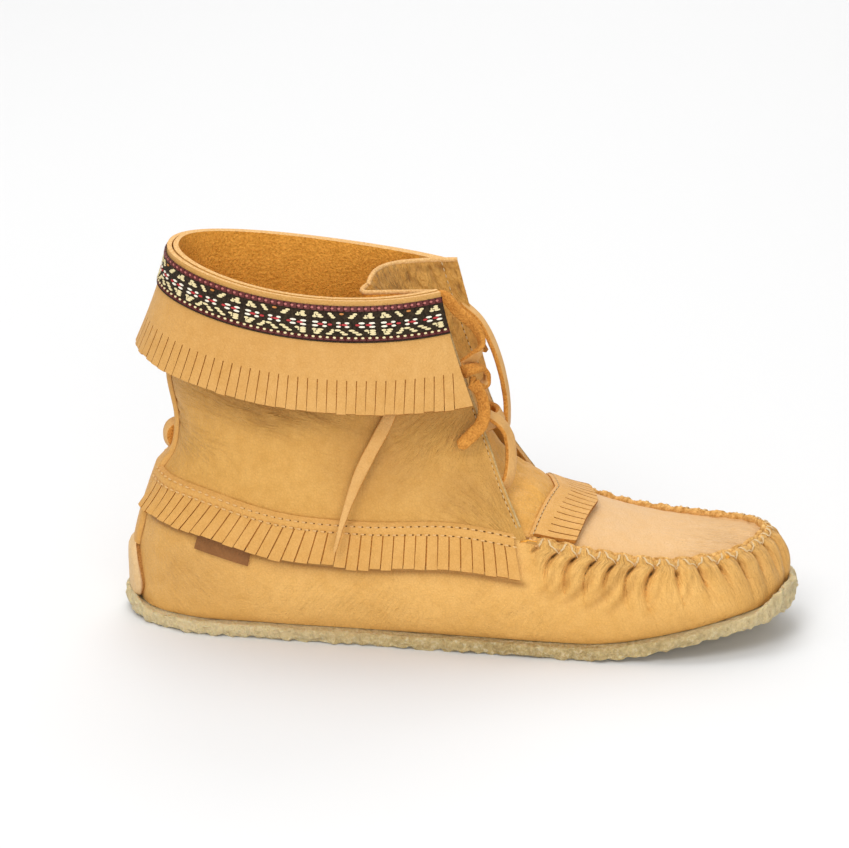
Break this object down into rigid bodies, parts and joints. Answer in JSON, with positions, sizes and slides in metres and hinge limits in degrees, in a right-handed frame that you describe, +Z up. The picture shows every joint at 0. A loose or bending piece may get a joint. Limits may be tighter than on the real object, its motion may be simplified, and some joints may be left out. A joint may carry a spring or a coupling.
{
  "type": "fringed moccasin ankle boot",
  "caption": "Right ankle-high moccasin: gathered toe seam round a plug, fringed cuff with a woven braid, side and instep fringes, thong laces and a crepe sole.",
  "frame": {"origin": "centre of the bounding box on the floor, measured without the free laces", "axes": "+X from heel to toe, +Y towards the inner (medial) side of this right shoe, +Z up"},
  "size_m": [0.2644, 0.0964, 0.1519],
  "materials": {
    "hide": "soft tan moose-type hide, matt grain side out",
    "trim_hide": "thinner tan hide, matt grain side out, cut edges raw",
    "suede": "flesh side suede, orange tan",
    "braid": "jacquard woven ribbon, near-black ground with cream, white and maroon figures",
    "tab_leather": "brown smooth leather, blank",
    "thong": "cut hide thong, grain side tan, flesh side orange nap",
    "crepe": "natural plantation crepe, rough and cream coloured"
  },
  "bodies": {
    "root": {"outsole": "crepe", "upper": "hide", "insole": "suede", "tongue": "hide", "cuff": "hide", "braid_trim": "braid", "fringe_outer": "trim_hide", "fringe_inner": "trim_hide", "instep_fringe": "trim_hide", "back_stay": "trim_hide", "heel_tab": "trim_hide", "side_tab": "tab_leather", "lace_bar": "thong", "lace_back": "thong", "lace_loop_top": "thong", "lace_loop_long": "thong", "lace_knot": "thong", "lace_end": "thong", "lace_loop_low": "thong", "thong_end": "thong"}
  },
  "joints": []
}
